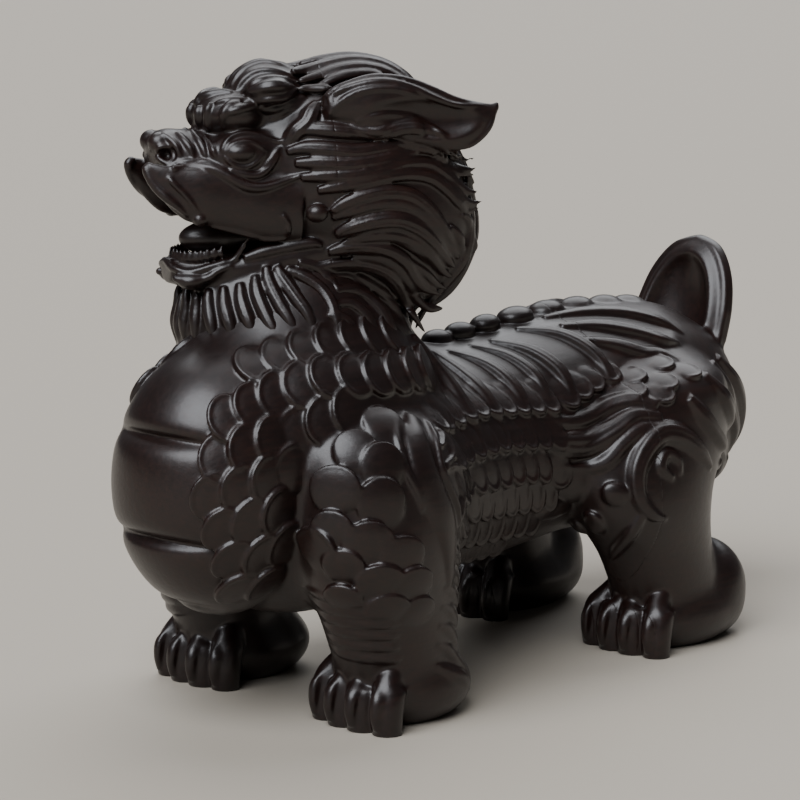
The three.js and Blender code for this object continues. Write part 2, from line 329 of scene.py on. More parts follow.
# %% [markdown]
# ## Reading the field
#
# Relief has to lie on the surface, so we need to ask the field three things: the distance at a
# point, the direction straight out of the wood, and where the surface is.

# %% Distance, outward direction and resting place
def distance_at(block, points):
    """The field at any points, read between the grid's own."""
    q = np.asarray(points, float) / block.pitch - block.low
    cell = np.clip(np.floor(q).astype(int), 0, block.size - 2)
    f = np.clip(q - cell, 0, 1)
    total = 0
    for corner in np.ndindex(2, 2, 2):
        weight = np.prod(np.where(corner, f, 1 - f), axis=1)
        total = total + weight * block.d[tuple((cell + corner).T)]
    return total


def outward(block, points):
    """The unit direction straight out of the wood at each point."""
    points = np.asarray(points, float)
    steps = np.eye(3) * block.pitch
    slope = [distance_at(block, points + s) - distance_at(block, points - s) for s in steps]
    slope = np.stack(slope, axis=1)
    return slope / (np.linalg.norm(slope, axis=1, keepdims=True) + 1e-9)


def settle(block, points, height=0.0):
    """The points moved along the outward direction until they lie `height` mm above the wood."""
    points = np.array(points, float)
    for _ in range(8):
        points -= (distance_at(block, points) - height)[:, None] * outward(block, points) * 0.8
    return points


def from_side(block, y, z):
    """Where a needle pushed in along X at this height first meets the wood."""
    x = np.arange(50, 0, -0.25)
    line = np.stack([x, np.full_like(x, y), np.full_like(x, z)], axis=1)
    inside = np.nonzero(distance_at(block, line) < 0)[0]
    return line[inside[0] if len(inside) else -1]


# %% [markdown]
# ## Arithmetic on sockets
#
# Geometry Nodes and shader nodes are both graphs of sockets. `Socket` wraps one output so that
# ordinary Python arithmetic adds the Math nodes for us, and `Tree.node` adds any other node:
# its type, its settings, and then the values or links of its inputs.

# %% Sockets and trees
class Socket:
    def __init__(self, tree, socket):
        self.tree, self.socket = tree, socket

    def math(self, operation, *others):
        values = dict(enumerate((self, *others)))
        return self.tree.node("ShaderNodeMath", {"operation": operation}, values)()

    def __add__(self, other):
        return self.math("ADD", other)

    def __mul__(self, other):
        return self.math("MULTIPLY", other)

    def __sub__(self, other):
        return self.math("SUBTRACT", other)

    def __truediv__(self, other):
        return self.math("DIVIDE", other)

    def __pow__(self, other):
        return self.math("POWER", other)

    def __rsub__(self, other):
        return self.tree.node("ShaderNodeMath", {"operation": "SUBTRACT"}, {0: other, 1: self})()

    __radd__, __rmul__ = __add__, __mul__


class Tree:
    def __init__(self, tree):
        self.tree = tree

    def node(self, kind, settings=(), values=()):
        made = self.tree.nodes.new(kind)
        for name, value in dict(settings).items():
            if name == "stops":
                set_stops(made.color_ramp, value)
            else:
                setattr(made, name, value)
        for key, value in dict(values).items():
            for one in value if isinstance(value, list) else [value]:
                if isinstance(one, Socket):
                    self.tree.links.new(one.socket, made.inputs[key])
                else:
                    made.inputs[key].default_value = one
        return lambda name=0: Socket(self, made.outputs[name])


def set_stops(ramp, stops):
    """A colour ramp's stops: place and colour or grey value."""
    while len(ramp.elements) < len(stops):
        ramp.elements.new(0.5)
    for element, (place, colour) in zip(ramp.elements, stops):
        element.position = place
        element.color = (*colour, 1) if isinstance(colour, tuple) else (colour, colour, colour, 1)


# %% [markdown]
# ## Strands, swept by Geometry Nodes
#
# Locks of the mane, lips, eyelids, toes and ribbons all follow a path, so one node tree makes
# them all. It turns the edges of a mesh into curves, points each curve's normal out of the wood,
# and sweeps an oval profile along it, scaled by the strand's half width at each point. The
# profile is notched, so a single lock shows several parallel hairs, as a carver would cut them.

# %% The node tree for strands
def new_tree(name, inputs):
    """An empty geometry tree with named inputs, its input sockets and its output node."""
    group = bpy.data.node_groups.new(name, "GeometryNodeTree")
    group.interface.new_socket("Geometry", in_out="INPUT", socket_type="NodeSocketGeometry")
    for label, kind, value in inputs:
        socket = group.interface.new_socket(label, in_out="INPUT", socket_type=kind)
        if value is not None:
            socket.default_value = value
    group.interface.new_socket("Geometry", in_out="OUTPUT", socket_type="NodeSocketGeometry")
    tree = Tree(group)
    return tree, tree.node("NodeGroupInput"), group.nodes.new("NodeGroupOutput")


def close_tree(tree, output, mesh, material):
    """Realize the instances, set the material and connect the result."""
    real = tree.node("GeometryNodeRealizeInstances", (), {"Geometry": mesh})()
    done = tree.node("GeometryNodeSetMaterial", (), {"Geometry": real, "Material": material})()
    tree.tree.links.new(done.socket, output.inputs["Geometry"])
    return tree.tree


def strand_tree():
    tree, given, output = new_tree("strands", [
        ("Sides", "NodeSocketInt", 32), ("Thickness", "NodeSocketFloat", 0.7),
        ("Hairs", "NodeSocketInt", 8), ("Notch", "NodeSocketFloat", 0.1),
        ("Material", "NodeSocketMaterial", None),
    ])
    read = lambda kind, name: tree.node("GeometryNodeInputNamedAttribute", {"data_type": kind},
        {"Name": name})()
    curve = tree.node("GeometryNodeMeshToCurve", (), {"Mesh": given("Geometry")})()
    curve = tree.node("GeometryNodeSetCurveNormal", {"mode": "FREE"},
        {"Curve": curve, "Normal": read("FLOAT_VECTOR", "out")})()
    circle = tree.node("GeometryNodeCurvePrimitiveCircle", (), {"Resolution": given("Sides"),
        "Radius": 1.0})()
    turn = tree.node("GeometryNodeSplineParameter")("Factor")
    wave = (turn * given("Hairs") * 6.2831853).math("COSINE")
    size = 1 - ((wave + 1) * 0.5) ** 5 * given("Notch")
    angle = turn * 6.2831853
    place = tree.node("ShaderNodeCombineXYZ", (), {
        "X": angle.math("COSINE") * size * given("Thickness"), "Y": angle.math("SINE") * size,
    })()
    profile = tree.node("GeometryNodeSetPosition", (), {"Geometry": circle, "Position": place})()
    swept = tree.node("GeometryNodeCurveToMesh", (), {
        "Curve": curve, "Profile Curve": profile, "Scale": read("FLOAT", "half"), "Fill Caps": True,
    })()
    return close_tree(tree, output, swept, given("Material"))


STRANDS = strand_tree()
print("strand tree:", len(STRANDS.nodes), "nodes")

# %% [markdown]
# ## Scales, set out by Geometry Nodes
#
# A scale is a flattened ball that rises towards its free end, with a bead round that end. The
# tree builds one scale from its named sizes, stands a copy on every point of a mesh and turns
# it by two attributes: `out`, away from the wood, and `tip`, the way the free end points.

# %% The node tree for scales
def scale_tree():
    tree, given, output = new_tree("scales", [
        ("Rim", "NodeSocketFloat", 0.1), ("Rise", "NodeSocketFloat", 0.6),
        ("Dome", "NodeSocketFloat", 0.6), ("Sweep", "NodeSocketFloat", 3.9),
        ("Material", "NodeSocketMaterial", None),
    ])
    read = lambda name: tree.node("GeometryNodeInputNamedAttribute", {"data_type": "FLOAT_VECTOR"},
        {"Name": name})()

    def tilted(geometry, flat):
        """The geometry with its height scaled by `flat` and lifted towards its free end."""
        at = tree.node("GeometryNodeInputPosition")()
        axes = tree.node("ShaderNodeSeparateXYZ", (), {"Vector": at})
        height = axes("Z") * flat + (axes("Y") + 0.2) * given("Rise")
        place = tree.node("ShaderNodeCombineXYZ", (), {"X": axes("X"), "Y": axes("Y"), "Z": height})()
        return tree.node("GeometryNodeSetPosition", (), {"Geometry": geometry, "Position": place})()

    ball = tree.node("GeometryNodeMeshUVSphere", (), {"Segments": 24, "Rings": 12, "Radius": 1.0})("Mesh")
    arc = tree.node("GeometryNodeCurveArc", {"mode": "RADIUS"}, {
        "Resolution": 28, "Radius": 0.94,
        "Start Angle": 1.5708 - given("Sweep") * 0.5, "Sweep Angle": given("Sweep"),
    })("Curve")
    along = tree.node("GeometryNodeSplineParameter")("Factor")
    taper = 1.05 - (along * 2 - 1).math("ABSOLUTE") ** 4
    ring = tree.node("GeometryNodeCurvePrimitiveCircle", (), {"Resolution": 8, "Radius": given("Rim")})()
    bead = tree.node("GeometryNodeCurveToMesh", (), {
        "Curve": arc, "Profile Curve": ring, "Scale": taper, "Fill Caps": True,
    })()
    scale = tree.node("GeometryNodeJoinGeometry", (),
        {"Geometry": [tilted(ball, given("Dome")), tilted(bead, 5.0)]})()
    turn = tree.node("FunctionNodeAxesToRotation", {"primary_axis": "Z", "secondary_axis": "Y"}, {
        "Primary Axis": read("out"), "Secondary Axis": read("tip"),
    })()
    copies = tree.node("GeometryNodeInstanceOnPoints", (), {
        "Points": given("Geometry"), "Instance": scale, "Rotation": turn, "Scale": read("size"),
    })()
    return close_tree(tree, output, copies, given("Material"))


SCALES = scale_tree()
print("scale tree:", len(SCALES.nodes), "nodes")

# %% [markdown]
# A tree needs something to work on: a mesh of edges for strands, or of points for scales, with
# its attributes. `grow` runs the tree on such a mesh and hands back plain points and triangles.

# %% Growing a blank into a mesh
WOOD = bpy.data.materials.new("dark wood")


def sketch(name, points, edges, **attributes):
    """A mesh of points and edges that carries numbers or directions on its points."""
    mesh = bpy.data.meshes.new(name)
    mesh.from_pydata(np.asarray(points).tolist(), edges, [])
    for label, values in attributes.items():
        values = np.asarray(values, np.float32)
        flat = values.ndim == 1
        layer = mesh.attributes.new(label, "FLOAT" if flat else "FLOAT_VECTOR", "POINT")
        layer.data.foreach_set("value" if flat else "vector", values.ravel())
    return mesh


def grow(tree, mesh, **values):
    """Run a geometry tree on a mesh and return the resulting points and triangles."""
    holder = bpy.data.objects.new(mesh.name, mesh)
    bpy.context.scene.collection.objects.link(holder)
    modifier = holder.modifiers.new("grow", "NODES")
    modifier.node_group = tree
    values["Material"] = WOOD
    for item in tree.interface.items_tree:
        if item.in_out == "INPUT" and item.name in values:
            modifier[item.identifier] = values[item.name]
    seen = holder.evaluated_get(bpy.context.evaluated_depsgraph_get())
    plain = bpy.data.meshes.new_from_object(seen)
    plain.calc_loop_triangles()
    points = np.empty(len(plain.vertices) * 3, np.float32)
    plain.vertices.foreach_get("co", points)
    triangles = np.empty(len(plain.loop_triangles) * 3, np.int32)
    plain.loop_triangles.foreach_get("vertices", triangles)
    bpy.data.objects.remove(holder)
    bpy.data.meshes.remove(plain)
    return points.reshape(-1, 3), triangles.reshape(-1, 3)


def strands(block, name, lines, hairs=8, notch=0.1, thickness=0.7, sides=32, mirror=True):
    """Strands along the lines, each a list of stops (x, y, z, half width)."""
    places, halves, edges = [], [], []
    for line in lines:
        line = smooth_line(line, 7)
        for flip in (1, -1) if mirror else (1,):
            first = sum(len(p) for p in places)
            places.append(line[:, :3] * (flip, 1, 1))
            halves.append(np.maximum(line[:, 3], 0.12))
            edges += [(first + i, first + i + 1) for i in range(len(line) - 1)]
    places, halves = np.vstack(places), np.concatenate(halves)
    mesh = sketch(name, places, edges, half=halves, out=outward(block, places))
    made = grow(STRANDS, mesh, Sides=sides, Thickness=thickness, Hairs=hairs, Notch=notch)
    print(f"{name}: {len(lines)} strands, {len(made[1])} triangles")
    return made


def scales(block, name, places, rim=0.1, rise=0.6, dome=0.6, mirror=True):
    """Scales at (point, tip direction, half width, half length, thickness)."""
    rows = [(p, t, (w, l, h)) for p, t, w, l, h in places]
    points, tips, sizes = (np.array(column, float) for column in zip(*rows))
    if mirror:
        flip = np.array([-1, 1, 1])
        points, tips = np.vstack([points, points * flip]), np.vstack([tips, tips * flip])
        sizes = np.vstack([sizes, sizes])
    mesh = sketch(name, points, [], out=outward(block, points), tip=tips, size=sizes)
    made = grow(SCALES, mesh, Rim=rim, Rise=rise, Dome=dome)
    print(f"{name}: {len(points)} scales, {len(made[1])} triangles")
    return made

# %% [markdown]
# ## Laying relief on the wood
#
# The stops of a strand are given roughly, and `lay` slides them on to the surface. Tips that
# should stand free of the wood are left where they are.

# %% Strands laid on the surface
def lay(block, stops, height=0.3, free=0):
    """The stops slid to `height` mm above the wood, except the last `free` of them."""
    stops = np.array(stops, float)
    held = len(stops) - free
    stops[:held, :3] = settle(block, stops[:held, :3], height)
    return stops


def tapered(block, table, height, free=0, start=0.5, end=0.08):
    """Strands from rows of (points, half width): each swells from its root and ends in a point."""
    lines = []
    for points, half in table:
        at = np.linspace(0, 1, len(points))
        width = half * np.interp(at, (0, 0.16, 0.62, 0.86, 1), (start, 1, 1, 0.66, end))
        lines.append(lay(block, np.column_stack([points, width]), height, free))
    return lines


# %% [markdown]
# ## Drawing on the head as it is seen
#
# A carver draws the hair on the block before cutting it, and looks at it from one side while
# drawing. We do the same: the lines of the face and the mane are drawn as points
# (u, v) of an 800 by 800 picture taken by this scene's camera. A ray through each point finds
# the wood. Where a tip stands free of the wood, a third number says how far out along X it is.

# %% From a point of the picture to the wood
PICTURE_MIDDLE, FOCAL = 400, 2800  # in pixels
AZIMUTH, ELEVATION, DISTANCE = np.radians(44.6), np.radians(9.7), 682.0  # of the camera, in mm
AIM = np.array([0, -4.8, 67.6])  # what the camera looks at, in mm
HEAD_TURN, NECK_AT = np.radians(-25), np.array([0, -28, 118.8])
TURN = np.array([
    [np.cos(HEAD_TURN), -np.sin(HEAD_TURN), 0], [np.sin(HEAD_TURN), np.cos(HEAD_TURN), 0], [0, 0, 1],
])
RIGHT = np.array([np.cos(AZIMUTH), np.sin(AZIMUTH), 0])
BACK = np.array([
    np.sin(AZIMUTH) * np.cos(ELEVATION), -np.cos(AZIMUTH) * np.cos(ELEVATION), np.sin(ELEVATION),
])
UP = np.cross(BACK, RIGHT)
DEPTHS = np.arange(DISTANCE - 80, DISTANCE + 80, 0.25)


def on_head(u, v, x=None):
    """The place on the head that shows at (u, v), or the place there with the given x."""
    ray = RIGHT * (u - PICTURE_MIDDLE) / FOCAL + UP * (PICTURE_MIDDLE - v) / FOCAL - BACK
    eye = (AIM + BACK * DISTANCE - NECK_AT) @ TURN
    ray = ray @ TURN
    if x is not None:
        return eye + ray * (x - eye[0]) / ray[0]
    line = eye + DEPTHS[:, None] * ray
    gap = distance_at(head, line)
    inside = np.nonzero(gap < 0)[0]
    return line[inside[0] if len(inside) else np.argmin(gap)]


def drawn(table):
    """Rows of drawn points and a half width, carried on to the head."""
    return [([on_head(*point) for point in points], half) for points, half in table]


# %% [markdown]
# ## The mane
#
# Each lock starts at the face, arches back over the head and ends in a point. The upper ones
# run nearly level, the lower ones turn down towards the chest. A row of the table is one lock:
# the points it passes and its half width. The tips of the side locks stand free of the wood.
# The locks on the back of the head can't be seen in the picture, so they are given in mm.

# %% Locks of the mane
SIDE_LOCKS = [
    ([(318, 104), (311, 114), (306, 124), (297, 132), (289, 141), (286, 152)], 2.2),
    ([(292, 136), (308, 130), (330, 130.5), (355, 132), (380, 131), (402, 128), (420, 129, 18),
      (436, 137, 17), (449, 149, 16), (463, 159, 14), (480, 157, 12.6)], 1.9),
    ([(287, 152), (305, 148), (330, 149.5), (355, 152), (378, 149), (402, 143), (424, 142, 17),
      (440, 150, 16), (453, 162, 15), (468, 169, 13.6), (485, 164, 12)], 1.8),
    ([(296, 163), (320, 163), (350, 164), (380, 160), (405, 153), (428, 152, 16.4),
      (444, 161, 15.4), (458, 172, 14), (480, 176, 12)], 1.9),
    ([(302, 177), (325, 176), (352, 175), (380, 170), (404, 163), (428, 163, 16), (444, 173, 15),
      (458, 185, 14), (470, 192, 13), (482, 190, 12)], 1.8),
    ([(318, 190), (340, 186), (365, 181), (388, 176), (410, 174), (430, 178), (444, 190, 15),
      (455, 203, 14), (468, 211, 13), (485, 205, 11.6)], 1.7),
    ([(438, 176, 15), (450, 188, 14.4), (460, 199, 13.6), (472, 203, 12.6), (486, 200, 11.4)], 1.2),
    ([(330, 211), (345, 203), (363, 196.5), (384, 192.5), (404, 194), (420, 202), (433, 215),
      (444, 231), (456, 246, 13.6), (470, 256, 12)], 1.8),
    ([(332, 217), (350, 211), (370, 205), (390, 203), (408, 206), (424, 217), (437, 232),
      (449, 247, 14.4), (464, 263, 12.4)], 1.5),
    ([(336, 233), (354, 226), (376, 221), (398, 221), (417, 229), (432, 242), (444, 256, 14.4),
      (457, 270, 12.6)], 2.3),
    ([(342, 243), (366, 236), (390, 235), (410, 241), (428, 254), (440, 268, 13.6), (452, 281, 12)], 1.6),
    ([(328, 252), (344, 247), (366, 246), (388, 250), (404, 261), (414, 277), (426, 289, 12.6),
      (447, 297, 11)], 1.8),
    ([(352, 256), (378, 258), (396, 267), (408, 283), (419, 297), (432, 306, 11), (446, 308, 10)], 1.3),
    ([(312, 268), (332, 264), (356, 263), (378, 268), (394, 280), (404, 298), (414, 316, 11),
      (428, 337, 9.6)], 1.8),
    ([(322, 279), (344, 276), (364, 281), (382, 293), (394, 309), (405, 326, 11), (418, 342, 9.6)], 1.6),
    ([(334, 291), (352, 290), (368, 298), (382, 312), (392, 328), (402, 345)], 1.7),
    ([(334, 305), (350, 304), (364, 314), (374, 328), (382, 346)], 1.5),
    ([(326, 316), (342, 318), (354, 330), (362, 346)], 1.4),
    ([(396, 240), (418, 250), (436, 265, 13.6), (458, 281, 12)], 1.3),
    ([(406, 258), (424, 272), (436, 284, 12.4), (452, 291, 11)], 1.1),
    ([(400, 285), (414, 298, 12.4), (428, 309, 11.4), (445, 310, 10.4)], 1.1),
    ([(456, 214, 13), (467, 220, 12.4), (474, 232, 11.4), (475, 246, 10.6), (470, 258, 10)], 1.3),
    ([(446, 225, 14.6), (456, 236, 13.6), (462, 249, 12.6), (463, 262, 11.6)], 1.2),
]
CROWN_LOCKS = [
    ([(291, 73, 7), (306, 64, 6.2), (328, 57, 5.4), (352, 56, 5), (378, 61, 5), (402, 69, 6),
      (421, 80, 8), (434, 90, 10)], 1.7),
    ([(300, 80, 9), (318, 71, 8.4), (340, 65, 8), (363, 63, 7.8), (388, 66, 8.4), (408, 74, 10),
      (424, 85, 11.6), (438, 96, 13)], 1.5),
    ([(316, 86, 10.6), (334, 76, 10.4), (356, 70, 10.2), (380, 69, 10.6), (402, 74, 12),
      (420, 84, 13.4), (436, 94, 14.6)], 1.3),
    ([(297, 89, 10), (310, 86, 10.6), (325, 86, 11.4), (336, 90, 12)], 1.2),
]
MIDDLE_LOCKS = [
    ([(0, -8, 29.6), (0, -2, 31.4), (0, 6, 31.6), (0, 14, 29.2), (0, 21, 24.6), (0, 28, 16),
        (0, 34, 6)], 2.0),
    ([(3.4, -7, 29.2), (3.6, 0, 31), (3.6, 8, 30.6), (3.6, 16, 27.6), (3.6, 23, 21.6), (3.2, 30, 12),
        (3, 35, 3)], 1.9),
    ([(6.6, 12, 28.6), (7, 18, 25.6), (7, 24, 20), (6.6, 29.6, 11.6), (6, 34, 3)], 1.9),
    ([(10, 13, 25.4), (10.4, 19, 22), (10.4, 25, 15.6), (9.6, 30, 8.4), (8.6, 33.6, 2)], 1.8),
    ([(13, 17, 21), (13, 23, 15.6), (12.4, 28, 9), (11, 32.4, 3.4)], 1.6),
]
NAPE_LOCKS = [
    ([(1.8, 33, 6), (2, 35, -3), (2, 33, -12), (2, 28, -21), (1.6, 24, -29)], 2.0),
    ([(5.6, 32, 5), (6, 33.6, -4), (6, 31.6, -13), (5.6, 27, -21.6), (5, 22.6, -30)], 2.0),
    ([(9.6, 29, 3), (10, 30.6, -5), (10, 28.6, -14), (9, 24, -22), (8, 19.6, -30)], 1.9),
    ([(3.4, 26, -17), (3.6, 22.6, -24), (3.2, 20, -33)], 1.7),
    ([(8, 22, -20), (7.6, 18, -27), (7, 15.6, -35)], 1.7),
    ([(0, 24, -18), (0, 20.6, -26), (0, 19, -34)], 1.6),
]
MANE_PARTS = [
    strands(head, "side locks", tapered(head, drawn(SIDE_LOCKS), 0.55, 2), hairs=8, notch=0.3),
    strands(head, "crown locks", tapered(head, drawn(CROWN_LOCKS), 1.1), hairs=8, notch=0.3),
    strands(head, "back locks", tapered(head, MIDDLE_LOCKS, 0.8, 1), hairs=8, notch=0.3),
    strands(head, "nape locks", tapered(head, NAPE_LOCKS, 0.5), hairs=8, notch=0.3),
]

# %% [markdown]
# The ear's upper edge is three fine strands side by side, and its lower edge is covered by two
# locks. The beard falls in long strands from the jaw to the chest.

# %% Ears and beard
EAR_EDGES = [
    ([(316, 103, 13), (332, 90, 14), (349, 79.5, 15), (370, 75, 16), (390, 75.5, 16.6),
      (410, 81, 17.2), (432, 91, 17.6), (455, 100, 18), (476, 103, 18), (494, 104, 18)], 1.2),
    ([(320, 110, 14.4), (335, 97, 15.6), (352, 87.5, 16.8), (372, 83, 17.8), (392, 83, 18.4),
      (412, 89, 18.8), (434, 98, 19), (456, 105, 18.8), (476, 107.5, 18.4), (493, 108, 18)], 0.9),
    ([(330, 113, 16), (343, 101, 17), (357, 93, 18), (374, 89.5, 18.6), (394, 89.5, 19),
      (412, 94, 19.2), (430, 102, 19.2)], 0.8),
    ([(494, 108, 18), (489, 122, 18.4), (480, 135, 18.6), (467, 145, 18.8), (452, 149, 19)], 0.8),
    ([(356, 122, 18), (374, 116.5, 18.6), (394, 116, 19), (414, 119, 19), (430, 126, 19),
      (443, 138, 18.6), (455, 151, 17.6), (466, 158, 16)], 1),
    ([(352, 127, 17.6), (374, 122, 18.4), (396, 121.5, 18.8), (416, 124, 18.8), (432, 132, 18.6),
      (446, 146, 18), (457, 157, 16.6)], 0.9),
]
BEARD = [
    ([(276, 266), (283, 280), (296, 298), (309, 318), (318, 347)], 1.8),
    ([(266, 266), (269, 283), (279, 304), (291, 324), (301, 348)], 1.6),
    ([(255, 276), (257, 294), (265, 314), (274, 332), (282, 349)], 1.6),
    ([(286, 270), (302, 277), (319, 288), (330, 303), (336, 322), (343, 347)], 1.7),
    ([(240, 284), (242, 302), (249, 322), (259, 348)], 1.6),
    ([(224, 287), (225, 305), (230, 325), (238, 348)], 1.6),
    ([(209, 288), (209, 306), (212, 326), (218, 349)], 1.6),
    ([(195, 288, 7), (195, 305, 7), (199, 325, 7.4), (205, 350, 8)], 1.5),
    ([(184, 290, 3.4), (182, 307, 3.6), (185, 327, 3.8), (193, 349, 4)], 1.5),
    ([(182, 292, 0), (178, 309, 0), (180, 328, 0), (187, 347, 0)], 1.4),
    ([(298, 262), (316, 268), (331, 281), (340, 297)], 1.4),
]
MANE_PARTS += [
    strands(head, "ear edges", tapered(head, drawn(EAR_EDGES), 0.2, 1), hairs=6, notch=0.22),
    strands(head, "beard", tapered(head, drawn(BEARD), 0.4), hairs=8, notch=0.3, thickness=0.8),
]

# %% [markdown]
# ## The face
#
# Plain round strands make the rolls of the face: the double upper lip, the edges of the flap
# that hangs from its front end, the lower lip, the lids, the brow and the pleats on the nose.
# They are swept by the same tree with no notches.

# %% Rolls of the face
ROLLS = [
    ([(172, 169), (185, 167), (200, 167.5), (213, 170), (226, 176), (237, 182), (248, 187),
      (262, 188), (278, 184), (292, 179), (302, 175)], 1.15),
    ([(170, 164), (185, 161.5), (200, 161), (213, 164), (226, 170), (238, 177)], 0.55),
    ([(151, 161, 6.6), (146.5, 168, 7.8), (149, 177, 8.6), (157, 187, 9.4), (167, 196.5, 10.2),
      (177, 205, 10.8), (187, 215, 11.4)], 1.15),
    ([(161, 164, 7.6), (170, 172, 9), (177, 182, 10.2), (185, 194, 11), (192, 204, 11.6),
      (199, 213, 12)], 0.6),
    ([(161, 250, -4), (163, 261, 0), (172, 267, 5), (185, 269, 8), (197, 268, 9.4),
      (210, 264, 10.6), (222, 258, 11.6), (233, 251.5, 12.2), (246, 247, 12.8), (262, 244, 13.4),
      (277, 242, 14), (286, 240, 14.4)], 0.85),
    ([(176, 275, 6), (187, 281, 7.6), (203, 279, 9), (217, 272, 10), (232, 266, 11)], 1),
    ([(244, 259), (262, 253), (280, 249), (298, 245.5), (314, 243.5), (322, 246)], 1.6),
    ([(283, 215), (288, 224), (288, 233), (284, 241)], 0.6),
    ([(212, 228, 12), (236, 235, 12.8), (250, 238, 13.2), (264, 241, 13.6)], 0.6),
    ([(222, 151), (226, 143), (233, 137), (243, 134), (254, 134.5), (265, 138), (276, 141.5),
      (286, 141)], 0.6),
    ([(225, 154), (231, 146.5), (239, 142.5), (249, 142), (259, 145.5), (266, 151)], 0.5),
    ([(224, 156), (230, 162), (238, 166.5), (247, 167), (256, 162.5), (264, 154)], 0.5),
    ([(230, 169), (243, 174.5), (256, 176), (266, 170), (273, 162), (279, 154)], 0.9),
    ([(262, 168), (270, 160), (276, 152), (281, 147)], 0.5),
    ([(199, 105, 3), (198.5, 112, 3.2), (199, 120, 3.2), (201, 129, 3)], 1.2),
    ([(213, 104, 6), (212, 112, 6), (211, 121, 5.6), (211, 130, 5)], 1),
    ([(240, 103), (230, 107), (224, 115), (222, 127)], 1.1),
    ([(196, 106, 0), (200, 99, 0), (210, 94.5, 2), (222, 91, 3.4), (232, 90, 5)], 1.3),
    ([(216, 104), (226, 101.5), (238, 100.5), (252, 100), (268, 99), (284, 97.5), (298, 94)], 0.9),
    ([(226, 114), (236, 111), (246, 108), (256, 105), (266, 107.5), (278, 107.5), (292, 102),
      (305, 96)], 1.2),
    ([(162, 134), (169, 139), (176, 146), (180, 155)], 0.8),
    ([(177, 133), (184, 141), (190, 149), (193, 157)], 0.9),
    ([(192, 131), (198, 140), (203, 149), (206, 157)], 0.9),
    ([(204, 136), (210, 144), (214, 151), (216, 157)], 0.7),
    ([(157, 152), (160, 147), (167, 146), (173, 151), (174, 158), (168, 163), (160, 163)], 0.65),
    ([(154, 157, 5), (160, 160, 6.4), (167, 165, 8), (176, 166, 9.4)], 0.7),
]
TUFTS = [
    ([(270, 119), (282, 113), (294, 107), (306, 98)], 0.8),
    ([(266, 113), (280, 107), (293, 100), (306, 90)], 0.8),
    ([(258, 105), (274, 102), (289, 95), (303, 85)], 0.8),
    ([(250, 92), (266, 87), (282, 86), (298, 88)], 1.5),
    ([(231, 86), (238, 75), (249, 66), (263, 62), (278, 64), (292, 70)], 0.9),
    ([(236, 90), (244, 79), (256, 71.5), (270, 70), (284, 73), (297, 79)], 0.9),
    ([(243, 93), (252, 84), (264, 78.5), (278, 77.5), (292, 81), (304, 86)], 0.8),
]
FACE_PARTS = [
    strands(head, "rolls of the face", tapered(head, drawn(ROLLS), 0.15, 0, 0.6, 0.35), notch=0.0,
        thickness=0.95, sides=16),
    strands(head, "brow tufts", tapered(head, drawn(TUFTS), 0.1), hairs=5, notch=0.2),
]

# %% [markdown]
# Teeth stand along the inside of the lower lip. They are short strands that start wide and end
# in a point, so they need no tree of their own.

# %% Teeth
TEETH_ROW = smooth_line([(1.2, -39, -13.2), (5, -37.4, -13.4), (8, -34.4, -13), (9.6, -30, -12)], 3)
TEETH = [[(*p, 0.9), (*(p + (0, 0.2, 1.8)), 0.75), (*(p + (0, 0.5, 3.2)), 0.15)] for p in TEETH_ROW]
FACE_PARTS.append(strands(head, "teeth", TEETH, notch=0.0, thickness=1.0, sides=8))

# %% [markdown]
# ## Scales of the chest and shoulders
#
# Tall scales run in rows from the smooth lobes of the chest back towards the shoulder. Each has
# a raised bead on its front edge and climbs over the scale in front of it. A row is a line along
# the flank, and scales are set on it at an even spacing.

# %% Rows of scales
def row_of_scales(line, spacing, size, tip, lift=0.0):
    """Scales along a line of (y, z) on the left flank: places for the scale tree."""
    path = smooth_line([from_side(body, y, z) for y, z in line], 8)
    run = np.concatenate([[0], np.cumsum(np.linalg.norm(np.diff(path, axis=0), axis=1))])
    at = np.arange(0, run[-1] + 0.1, spacing)
    points = np.stack([np.interp(at, run, path[:, k]) for k in range(3)], axis=1)
    return [(p, np.array(tip), *size) for p in settle(body, points, lift)]


CHEST_ROWS = [
    [(-64, 84.5), (-50, 87.4), (-38, 88.4), (-26, 88)],
    [(-75.3, 74.1), (-62.8, 78.4), (-51.9, 81.5), (-42, 81), (-30, 80.5), (-20, 80)],
    [(-79, 65.6), (-66.1, 69), (-55.4, 72.3), (-48, 74.6)],
    [(-81.1, 57.3), (-69.9, 60.4), (-61, 63.4)],
    [(-79, 49.6), (-72.8, 51.6), (-62.4, 54.1)],
    [(-76, 42.2), (-66.9, 44), (-61, 44.8)],
    [(-72.5, 34.8), (-62, 36.6)],
]
chest_scales = []
for line in CHEST_ROWS:
    chest_scales += row_of_scales(line, 6.5, (5.7, 5.0, 1.25), (0.15, -0.93, 0.36))
FAR_START = -70  # the lobes reach further round on the far side, so its scales start here
flip = np.array([-1, 1, 1])
chest_scales += [(p * flip, t * flip, *size) for p, t, *size in chest_scales if p[1] > FAR_START]
BODY_PARTS = [scales(body, "chest scales", chest_scales, rim=0.13, rise=0.6, dome=0.75, mirror=False)]

# %% [markdown]
# On the shoulder the scales are wide domes that point upwards, with a plain rolled edge. On the
# flank they are narrow tongues that hang down and back.

